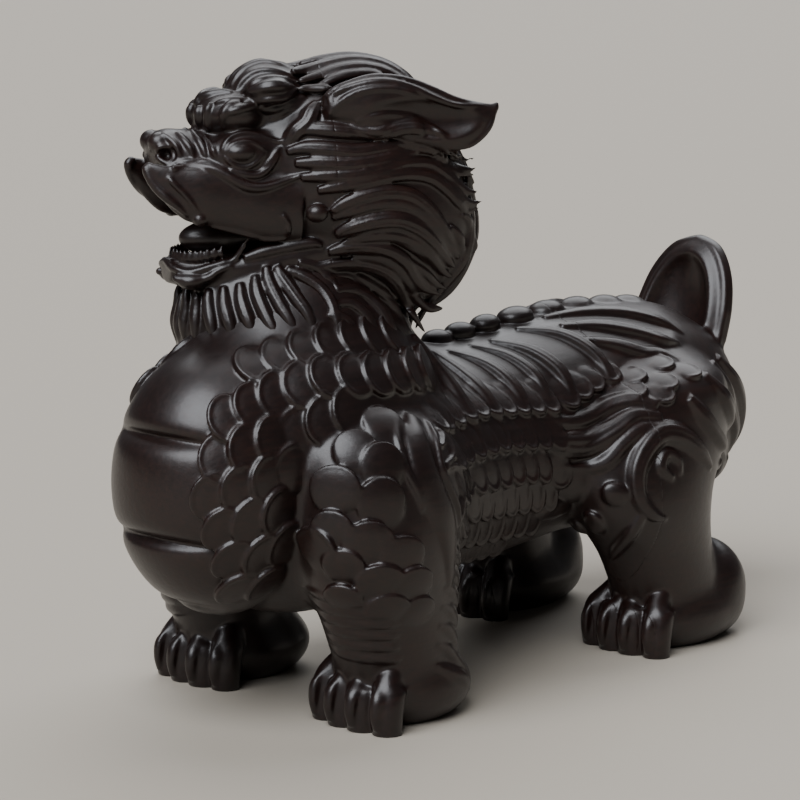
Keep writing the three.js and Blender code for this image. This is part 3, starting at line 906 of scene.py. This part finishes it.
# %% Shoulder domes and flank tongues
DOMES = [
    (-54, 66.2, 5.2, 5.0), (-44, 70.2, 5.4, 5.2), (-50, 62.6, 5.4, 5.6), (-59.6, 58, 6.2, 5.6), (-52,
        54.8, 6.0, 5.8),
    (-61, 49, 5.4, 4.8), (-55.5, 46.2, 6.2, 5.2), (-48.4, 42.6, 6.0, 5.0), (-59.5, 41, 5.0, 4.4), (-53,
        37.2, 6.0, 4.6),
    (-45.2, 35.6, 5.6, 4.8), (-58, 33.5, 4.8, 4.0), (-50, 30.4, 5.4, 4.4), (-42.6, 29, 4.8, 4.2),
]
domes = [(from_side(body, y, z), (0, 0.1, 1), w, l, 1.5) for y, z, w, l in reversed(DOMES)]
FLANK_ROWS = [
    [(-25, 70), (-8, 70), (8, 69), (22, 68)], [(-27, 62.5), (-8, 62.5), (8, 61.5), (22, 60)],
    [(-24, 55), (-8, 54.5), (8, 54), (20, 52.5)], [(-27, 47.5), (-8, 47), (8, 46), (20, 45)],
    [(-22, 40.5), (-8, 40), (8, 39), (20, 38)], [(-20, 34), (-6, 33.5), (10, 33)],
]
tongues = []
for number, line in enumerate(FLANK_ROWS):
    line = [(y + 2.6 * (number % 2), z) for y, z in line]
    tongues += row_of_scales(line, 5.2, (2.9, 5.4, 1.2), (0, 0.4, -0.92))
HAUNCH = [
    (22, 50.5, 3.6, 5), (44.5, 71.8, 3.2, 3.6), (50, 70.4, 3.2, 3.6), (55.5, 69, 3.2, 3.6), (47, 67.6,
        3, 3.4), (52.6, 66.6, 3, 3.4),
    (38, 70.5, 3.2, 3.8), (33, 69.5, 3.2, 4.2), (28, 68, 3, 4.4), (60, 72.5, 3.4, 4), (65, 70.5, 3.4, 4),
]
haunch = [(from_side(body, y, z), (0, 0.5, -0.86), w, l, 1.2) for y, z, w, l in HAUNCH]
THIGH = [
    ((30.4, 26.6, 44.4), (0.2, -1, 0.1), 4.4, 7.6), ((26.6, 24.6, 38.4), (0.2, -1, 0), 3.2, 7.4),
    ((29.4, 35.2, 36.4), (0.2, -0.9, 0.4), 3.0, 4.2), ((21.5, 37, 32.6), (0.2, -1, 0), 2.6, 4.0),
    ((34.6, 35.5, 43.5), (0.1, -0.9, 0.3), 3.0, 3.6),
]
thigh = [(p, tip, w, l, 1.5) for (p, tip, w, l) in THIGH]
thigh = [(settle(body, [p])[0], *rest) for p, *rest in thigh]
BODY_PARTS += [
    scales(body, "shoulder domes", domes, rim=0.09, rise=0.6, dome=0.85),
    scales(body, "flank tongues", tongues + haunch, rim=0.15, rise=0.45, dome=0.6),
    scales(body, "thigh plates", thigh, rim=0.06, rise=0.3, dome=1.0),
]

# %% [markdown]
# ## Ribbons, curls and the ridge of the back
#
# Long ribbons flow from the spine over the flank, and wavy ones from the tail forward over the
# haunch. They are strands again, notched into a few hairs. The ridge of the back is a row of
# knobs, smaller at the front.

# %% Ribbons and curls
RIBBONS = [
    [(14, -20, 84, 1.2), (18.5, -12, 78.6, 2.0), (23.4, -8.8, 72, 2.2), (26.8, -7.6, 66, 1.5),
        (28.6, -6.6, 61, 0.2)],
    [(10.6, -6, 80.6, 1.0), (17, -2, 76.4, 1.9), (22, 0.6, 71.4, 2.2), (25.4, 2, 66.4, 1.5),
        (27, 3.6, 61, 0.2)],
    [(9, 3, 80.6, 1.0), (15.6, 9, 77, 2.0), (20.4, 12, 72.4, 2.4), (24, 13, 67.6, 1.8),
        (26.2, 13, 61.5, 0.2)],
    [(8, 12, 81, 0.8), (14, 18, 77.6, 1.6), (19.4, 21.4, 73.4, 1.8), (23, 22, 69, 1.2),
        (25.2, 21.5, 64.6, 0.2)],
    [(8, 19, 81.6, 1.0), (14.6, 25.4, 78.6, 2.1), (20, 29, 74.4, 2.4), (23.4, 30, 70, 1.8),
        (26, 29.4, 65, 0.2)],
    [(6.5, 30, 84, 1.0), (13, 38, 81.6, 2.1), (18.6, 42.4, 78, 2.3), (23, 44.4, 73.2, 1.7),
        (26.2, 43.6, 68.2, 0.2)],
    [(5, 42, 85.5, 1.0), (8, 54, 86, 2.0), (11.6, 65, 84, 2.3), (15, 74, 80, 2.0), (17, 80, 75, 0.3)],
    [(11, 42, 83.4, 1.0), (14.6, 52, 82.6, 2.1), (18.4, 61, 80, 2.3), (21.4, 68, 76, 1.9),
        (23, 73, 71, 0.3)],
    [(17, 44, 79.4, 1.0), (20.4, 52, 77.6, 1.9), (23.4, 59, 75, 2.0), (25.6, 65, 71.4, 1.5),
        (27, 69, 67.4, 0.3)],
]
WAVES = [
    [(35.4, 50, 63.6, 1.4), (32.4, 45.4, 65.6, 2.2), (29.4, 39.4, 65, 2.3), (28, 33, 62, 2.2),
        (27.2, 26, 61.6, 1.8), (25.8, 18, 64.6, 0.5)],
    [(36.4, 50, 61, 1.2), (34, 43.6, 61.8, 2.0), (32.2, 37.6, 58.8, 2.8), (30, 31, 56.2, 3.4),
        (28.4, 24.5, 56.4, 3.2), (27.2, 19.5, 57.6, 1.8)],
    [(37.4, 50.6, 58.6, 1.0), (35.6, 44, 58.6, 1.8), (34.2, 38.6, 55.4, 2.0), (32.8, 34, 51.4, 1.9),
        (31.4, 29, 50, 1.4), (29.4, 23, 50.8, 0.4)],
]
CURLS = [
    [(40.4, 66, 46.6, 0.8), (40.4, 61, 51.6, 2.2), (40, 55, 56, 2.9), (38.8, 48.8, 57.4, 3.0),
        (37.8, 43.4, 54, 2.9),
     (37.6, 40, 48.6, 2.6), (38, 40, 42.4, 2.2), (39.4, 43.4, 38, 1.6), (40, 47.6, 36.4, 0.4)],
    [(38.6, 41.6, 39, 1.0), (36.6, 39.6, 33.6, 1.9), (31.6, 40.6, 28.4, 1.6), (27.6, 42.6, 24.4, 0.3)],
    [(40, 50, 46, 0.6), (40.6, 46.6, 49.4, 1.5), (40.6, 48.8, 52.6, 1.5), (41, 52.4, 50.4, 1.0),
        (41, 52.6, 47, 0.4)],
    [(37, 60, 64.5, 1.4), (38.8, 64, 60, 2.4), (39.4, 69, 55.4, 2.4), (38.2, 74.6, 51, 1.9),
        (35, 80, 48, 0.4)],
    [(33, 70, 68, 1.4), (35.4, 75, 63, 2.6), (34.6, 81, 57.6, 2.6), (31.6, 87, 51.6, 2.1),
        (27, 92, 46, 0.4)],
    [(27, 80, 69, 1.4), (29, 86, 63.6, 2.6), (27.4, 92, 57, 2.7), (24, 97, 50, 2.2), (20, 99, 43.4, 0.4)],
    [(19, 90, 68, 1.4), (20.6, 97, 62.4, 2.7), (19, 103, 55.6, 2.8), (16, 106, 48, 2.3),
        (13.6, 104.6, 41, 0.4)],
    [(10, 98, 66, 1.4), (10.6, 105.6, 59, 2.7), (9.6, 109.6, 51.6, 2.8), (8, 109.4, 44.4, 2.2),
        (7, 105, 38, 0.4)],
    [(3.4, 104, 61, 1.2), (3.6, 110.6, 53.6, 2.4), (3.2, 112, 46, 2.4), (2.6, 108, 38.6, 0.4)],
]
RUMP = [
    [(35, 73, 47, 1.0), (33.6, 79.6, 43.6, 2.2), (30, 85.4, 40.6, 2.2), (25.6, 89.6, 38.6, 0.4)],
    [(28, 88, 46, 1.0), (24.6, 93, 41.6, 2.2), (20.6, 95.4, 37.6, 2.0), (16.6, 95.6, 34.6, 0.4)],
    [(18, 99, 42.6, 1.0), (14.4, 101.6, 38, 2.1), (11, 100.6, 33.8, 1.8), (8.6, 97.6, 31, 0.4)],
]
BODY_PARTS += [
    strands(body, "ribbons", [lay(body, s, 0.2) for s in RIBBONS], hairs=5, notch=0.2, thickness=0.75),
    strands(body, "waves", [lay(body, s, 0.2) for s in WAVES], hairs=7, notch=0.18, thickness=0.55),
    strands(body, "curls", [lay(body, s, 0.2) for s in CURLS + RUMP], hairs=6, notch=0.18, thickness=0.7),
]

# %% Knobs along the spine
KNOBS = [(y, 80.3 + 4.2 * np.sin(np.pi * (y - 2) / 100), 3.6 + 0.7 * (y > 30)) for y in (8.2, 16.2,
    25.4, 36.6, 48.4, 60, 71.4, 81)]
knobs = [((0, y, z), (0, 1, 0), w, w * 1.25, 2.6) for y, z, w in KNOBS]
BODY_PARTS.append(scales(body, "spine knobs", knobs, rim=0.04, rise=0.0, dome=1.0, mirror=False))

# %% [markdown]
# ## Elbow strap, cells behind it and the hair of the legs

# %% Straps and fine cords
STRAP = [
    [(33, -33.5, 72, 2.0), (36.8, -37.6, 67, 3.2), (40, -39.4, 61, 3.9), (41.8, -37.8, 55, 4.2),
        (42.8, -34.6, 48.6, 3.9), (43.4, -32.4, 41, 2.8), (43, -31, 33, 1.4)],
]
CORDS = [
    [(33.2, -39.6, 72.4, 0.5), (37, -43.4, 67.4, 0.9), (40.8, -44.4, 61, 0.9), (42.2, -42.4, 55.6, 0.9),
        (43, -41.6, 52, 0.4)],
    [(33.6, -28.8, 70.4, 0.5), (37.4, -31.6, 65.8, 0.8), (40, -33.2, 60.6, 0.8), (40.8, -31.6, 56, 0.8),
        (41.6, -28.6, 50.6, 0.7), (41.8, -27.4, 46, 0.3)],
    [(34.6, -27, 68.4, 0.4), (35.4, -24.6, 64.6, 0.7), (37, -26.6, 61.4, 0.7), (39.6, -31.4, 60.4, 0.5)],
    [(39.6, -31.4, 59.4, 0.4), (37.8, -26, 59, 0.7), (37.4, -24.4, 54.6, 0.7), (39.6, -26.4, 49.6, 0.7),
        (41.4, -27.6, 47, 0.4)],
    [(34.4, -27.2, 65.4, 0.4), (36.4, -30, 64, 0.6), (37.4, -31.4, 64, 0.3)],
]
LEG_HAIR = []
for i in range(6):
    z = 33 - 3.1 * i
    LEG_HAIR.append([(22 + i * 0.4, -56.6 + i * 0.8, z + 1, 0.4), (28.6, -58.6 + i, z + 0.4, 1.3),
        (35.4, -56 + i * 1.1, z, 1.4), (40, -51 + i, z - 0.6, 1.0), (42, -46.6, z - 0.6, 0.3)])
for i in range(7):
    z = 40 - 4.6 * i
    LEG_HAIR.append([(42.6, -34, z + 2, 0.4), (42.6, -28.6, z, 1.5), (40.4, -24, z - 3, 1.6),
        (37, -21.6, z - 6.4, 0.4)])
for i in range(5):
    z = 40 - 4 * i
    LEG_HAIR.append([(16.6, -48, z, 0.4), (15.6, -42, z - 1.6, 1.4), (16, -36, z - 4, 1.4),
        (17.6, -31, z - 7, 0.3)])
LEG_HAIR = [lay(body, s, 0.0) for s in LEG_HAIR]
BODY_PARTS += [
    strands(body, "elbow strap", [lay(body, s, 0.1) for s in STRAP], notch=0.0, thickness=0.34),
    strands(body, "edge cords", [lay(body, s, 0.4) for s in CORDS], notch=0.0, thickness=0.9, sides=12),
    strands(body, "leg hair", LEG_HAIR, notch=0.0, thickness=0.55, sides=16),
]

# %% [markdown]
# ## Toes
#
# Four toes fan out at the front of each foot. Each is a strand that comes down from the instep,
# swells at the knuckle and ends on the ground, with a claw laid over its front.

# %% Toes and claws
toes, claws = [], []
for x, y, half in FEET.values():
    for s in (-1, -0.34, 0.34, 1):
        front = y - half + abs(s) * 2.5
        side = x + s * 10.2
        toes.append([
            (x + s * 5.0, y - 3, 17, 2.2), (x + s * 7.6, front + 11, 14.6, 3.4), (x + s * 9.4,
                front + 6.6, 11.4, 3.9),
            (side, front + 4.6, 6.6, 3.8), (side, front + 4.2, 2.2, 3.6), (side, front + 4.4, -1, 3.4),
        ])
        claws.append([
            (x + s * 9.2, front + 4.6, 12.6, 0.8), (side, front + 1.6, 9.4, 1.6), (side, front + 0.6,
                5.4, 1.5), (side, front + 1, 1.6, 0.9),
        ])
BODY_PARTS += [
    strands(body, "toes", toes, notch=0.0, thickness=0.95, sides=20),
    strands(body, "claws", claws, notch=0.0, thickness=0.8, sides=12),
]

# %% [markdown]
# ## The edge of the tail
#
# A thick rolled edge runs round the leaf and sweeps down and forward over the rump, with one
# groove along its middle.

# %% Edge of the tail
TAIL_EDGE = [
    (0, 110.6, 97.6, 1.8), (6.5, 109.6, 95.4, 1.9), (11.4, 107.4, 89, 2.0), (13.8, 104.6, 80.6,
        2.1), (14.4, 101, 71.4, 2.2),
    (18.4, 93.4, 65, 2.2), (25, 80.4, 63.6, 2.0), (31.4, 65.4, 64, 1.7), (35.6, 52.6, 63.6, 0.5),
]
BODY_PARTS.append(strands(body, "tail edge", [TAIL_EDGE], hairs=2, notch=0.22, thickness=0.9))

# %% [markdown]
# ## Fusing the relief with the wood
#
# OpenVDB turns the relief's triangles into a distance field as well, and the two fields are
# melted together with a small fillet. The field is smoothed once, so that the finest edges look
# worn by sanding and lacquer, and is turned back into a mesh.

# %% Refining a field and reading meshes into it
def refine(block, low, high):
    """A block of half the pitch over part of the space, by cubic interpolation."""
    part, _ = block.window(low, high, 2 * block.pitch)
    d = block.d[part]
    for axis in range(3):
        d = np.moveaxis(d, axis, 0)
        edge = np.concatenate([d[:1], d, d[-1:]])
        middle = (9 * (edge[1:-2] + edge[2:-1]) - edge[:-3] - edge[3:]) / 16
        finer = np.empty((2 * len(d) - 1, *d.shape[1:]), np.float32)
        finer[::2], finer[1::2] = d, middle
        d = np.moveaxis(finer, 0, axis)
    fine = Block((0, 0, 0), (0, 0, 0), block.pitch / 2)
    fine.low = 2 * (block.low + [s.start for s in part])
    fine.size, fine.d = np.array(d.shape), np.ascontiguousarray(d)
    return fine


def field_of(mesh, pitch):
    """The distance field of triangles, kept only near their surface."""
    points, triangles = mesh
    scale = openvdb.createLinearTransform(voxelSize=pitch)
    return openvdb.FloatGrid.createLevelSetFromPolygons(
        points.astype(np.float64), triangles=triangles, transform=scale, halfWidth=4.0)


def read_field(grid, block):
    """The part of an OpenVDB field that covers a block."""
    d = np.empty(block.size, np.float32)
    grid.copyToArray(d, ijk=tuple(int(i) for i in block.low))
    return d


def soften(d):
    """One light smoothing along each axis."""
    for axis in range(3):
        d = np.moveaxis(d, axis, 0)
        d[1:-1] = (d[:-2] + 2 * d[1:-1] + d[2:]) / 4
        d = np.moveaxis(d, 0, axis)
    return d


def surface(block):
    """The surface of a block as points and four-sided faces."""
    band = block.pitch * 4
    grid = openvdb.FloatGrid(band)
    grid.copyFromArray(np.clip(block.d, -band, band))
    grid.transform = openvdb.createLinearTransform(voxelSize=block.pitch)
    points, faces = grid.convertToQuads()
    return points + block.low * block.pitch, faces[:, ::-1]


# %% [markdown]
# The finished carving is split into five pieces, so that each stays light. They are cut by
# planes from the same field and overlap by half a millimetre, so no joint shows.

# %% Cutting the carving into pieces
LIMIT = 190_000  # triangles in one piece
MIDDLE_Y = 13.9  # the carving's middle is moved to the origin, as in the solid


def fused(block, grids, low, high, soft):
    """The relief melted into the wood between two corners."""
    fine = refine(block, low, high)
    for grid in grids:
        fine.d = melt(fine.d, read_field(grid, fine), soft)
    band = 4 * fine.pitch
    fine.d = soften(np.clip(fine.d, -band, band))
    return fine


def cut_at(block, y, side):
    """Keep the wood on one side of a plane across Y: side 1 keeps the part behind it."""
    ys = ((np.arange(block.size[1]) + block.low[1]) * block.pitch).astype(np.float32)
    block.d = np.maximum(block.d, (side * (y - 0.25 * side - ys))[None, :, None])


def piece(name, block, place):
    """A mesh object from a block: placed by `place`, in metres, thinned to the limit."""
    points, faces = surface(block)
    points = place(points) / 1000
    mesh = bpy.data.meshes.new(name)
    mesh.vertices.add(len(points))
    mesh.vertices.foreach_set("co", points.astype(np.float32).ravel())
    mesh.loops.add(faces.size)
    mesh.loops.foreach_set("vertex_index", faces.astype(np.int32).ravel())
    mesh.polygons.add(len(faces))
    mesh.polygons.foreach_set("loop_start", np.arange(0, faces.size, 4, dtype=np.int32))
    mesh.update(calc_edges=True)
    mesh.validate()
    rough = bpy.data.objects.new(name, mesh)
    bpy.context.scene.collection.objects.link(rough)
    whole = 2 * len(faces)
    if whole > LIMIT:
        thin = rough.modifiers.new("thin", "DECIMATE")
        thin.ratio = LIMIT / whole
        seen = rough.evaluated_get(bpy.context.evaluated_depsgraph_get())
        thinned = bpy.data.meshes.new_from_object(seen)
        rough.modifiers.clear()
        rough.data = thinned
    rough.data.materials.clear()
    rough.data.materials.append(WOOD)
    rough.data.shade_smooth()
    print(
        f"{name}: {whole} triangles"
        f" thinned to {len(rough.data.polygons)} faces, {time.time() - began:.1f} s"
    )
    return rough


def on_body(points):
    points = points.copy()
    points[:, 1] -= MIDDLE_Y
    return points


def on_neck(points):
    return on_body(points @ TURN.T + NECK_AT)


# %% Fuse and cut
body_grids = [field_of(mesh, COARSE / 2) for mesh in BODY_PARTS]
head_grids = [field_of(mesh, COARSE * 0.4) for mesh in MANE_PARTS + FACE_PARTS]
print("relief read:", f"{time.time() - began:.1f} s")
CUTS = [("forequarters", -92, -14), ("trunk", -14, 46), ("hindquarters", 46, 121)]
pieces = []
for name, start, end in CUTS:
    part = fused(body, body_grids, (-47, start - 2, -2), (47, end + 2, 112), 0.7)
    if start > -92:
        cut_at(part, start, 1)
    if end < 121:
        cut_at(part, end, -1)
    floor_cut = ((np.arange(part.size[2]) + part.low[2]) * part.pitch).astype(np.float32)
    part.d = np.maximum(part.d, -floor_cut[None, None, :])
    pieces.append(piece(name, part, on_body))
for name, start, end, side in [("face", -50, -5, -1), ("mane", -5, 43, 1)]:
    part = fused(head, head_grids, (-29, start - 2, -40), (29, end + 2, 41), 0.5)
    cut_at(part, -5, side)
    pieces.append(piece(name, part, on_neck))

# %% [markdown]
# ## The finish: dark lacquered wood
#
# The wood is almost black, with a red-brown warmth where the light grazes it. The grain runs
# along the beast, so the pattern is stretched along Y. Fine pores and the marks of the gouge
# feed a bump, and the lacquer is a little duller in the pores than on the worn high spots.

# %% Dark wood
WOOD.use_nodes = True
WOOD.node_tree.nodes.clear()
wood = Tree(WOOD.node_tree)
at = wood.node("ShaderNodeTexCoord")("Object")
grain_space = wood.node("ShaderNodeMapping", (), {"Vector": at, "Scale": (900, 60, 900)})()
grain = wood.node("ShaderNodeTexNoise", (), {"Vector": grain_space, "Scale": 1.0, "Detail": 5.0,
    "Roughness": 0.6})("Fac")
broad = wood.node("ShaderNodeTexNoise", (), {"Vector": at, "Scale": 26.0, "Detail": 3.0})("Fac")
tone = (grain * 0.6 + broad * 0.4).math("MULTIPLY_ADD", 1.8, -0.4)
colour = wood.node("ShaderNodeValToRGB", {"stops": [
    (0.0, (0.0025, 0.0008, 0.0006)), (0.45, (0.0068, 0.0021, 0.0015)), (1.0, (0.018, 0.0053, 0.0031)),
]}, {"Fac": tone})("Color")
roughness = 0.31 + grain * 0.12 + broad * 0.08
marks_space = wood.node("ShaderNodeMapping", (), {"Vector": at, "Scale": (500, 500, 500)})()
marks = wood.node("ShaderNodeTexNoise", (), {"Vector": marks_space, "Scale": 1.0, "Detail": 3.0})("Fac")
bump = wood.node("ShaderNodeBump", (), {"Strength": 0.25, "Distance": 0.0004,
    "Height": grain * 0.5 + marks * 0.5})()
shader = wood.node("ShaderNodeBsdfPrincipled", (), {
    "Base Color": colour, "Roughness": roughness, "Normal": bump,
    "Specular IOR Level": 0.38, "Coat Weight": 0.3, "Coat Roughness": 0.26,
})()
out = wood.tree.nodes.new("ShaderNodeOutputMaterial")
wood.tree.links.new(shader.socket, out.inputs["Surface"])

for made in pieces:
    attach(made, "root")
    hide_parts("carving")

# %% [markdown]
# ## Floor, light and camera
#
# A pale plain floor, a large soft light high in front and a weaker one behind give the long
# pale highlights that show the carving. Both lights are far away, so the floor is evenly lit.

# %% Stage
floor_mesh = bpy.data.meshes.new("floor")
REACH = 20.0  # metres, so that its far edge is above the picture
CORNERS = [(-REACH, -REACH, 0), (REACH, -REACH, 0), (REACH, REACH, 0), (-REACH, REACH, 0)]
floor_mesh.from_pydata(CORNERS, [], [(0, 1, 2, 3)])
floor = bpy.data.objects.new("floor", floor_mesh)
bpy.context.scene.collection.objects.link(floor)
pale = bpy.data.materials.new("pale floor")
pale.use_nodes = True
pale.node_tree.nodes["Principled BSDF"].inputs["Base Color"].default_value = (0.36, 0.32, 0.265, 1)
pale.node_tree.nodes["Principled BSDF"].inputs["Roughness"].default_value = 0.75
floor_mesh.materials.append(pale)
floor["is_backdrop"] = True

world = bpy.data.worlds.new("room")
world.use_nodes = True
world.node_tree.nodes["Background"].inputs["Color"].default_value = (0.80, 0.80, 0.84, 1)
world.node_tree.nodes["Background"].inputs["Strength"].default_value = 0.10
bpy.context.scene.world = world


def wide_light(name, toward, spread, strength, colour):
    """A far light in the direction `toward`, `spread` degrees across, so its shadows are soft."""
    data = bpy.data.lights.new(name, "SUN")
    data.angle = np.radians(spread)
    data.energy, data.color = strength, colour
    made = bpy.data.objects.new(name, data)
    made.rotation_euler = mathutils.Vector(toward).to_track_quat("Z", "Y").to_euler()
    bpy.context.scene.collection.objects.link(made)


wide_light("window", (0.16, -0.62, 0.77), 50, 5.0, (0.92, 0.95, 1.0))
wide_light("back light", (-0.35, 0.50, 0.85), 60, 2.2, (0.95, 0.97, 1.0))
print("lights:", len(bpy.data.lights))

# %% [markdown]
# The camera is the one that the drawn lines of the head were read with, moved along with the
# carving's middle, so the picture and the lines agree.

# %% Camera
target = on_body(AIM[None])[0] / 1000
camera_data = bpy.data.cameras.new("camera")
camera_data.sensor_width = 36
camera_data.lens = 36 * FOCAL / (2 * PICTURE_MIDDLE)
camera = bpy.data.objects.new("camera", camera_data)
camera.location = target + BACK * DISTANCE / 1000
camera.rotation_euler = mathutils.Vector(-BACK).to_track_quat("-Z", "Y").to_euler()
bpy.context.scene.collection.objects.link(camera)
bpy.context.scene.camera = camera

NEW_BOX = [list(corner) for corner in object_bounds()]
print("the finished box, in metres:", NEW_BOX, f"{time.time() - began:.1f} s")
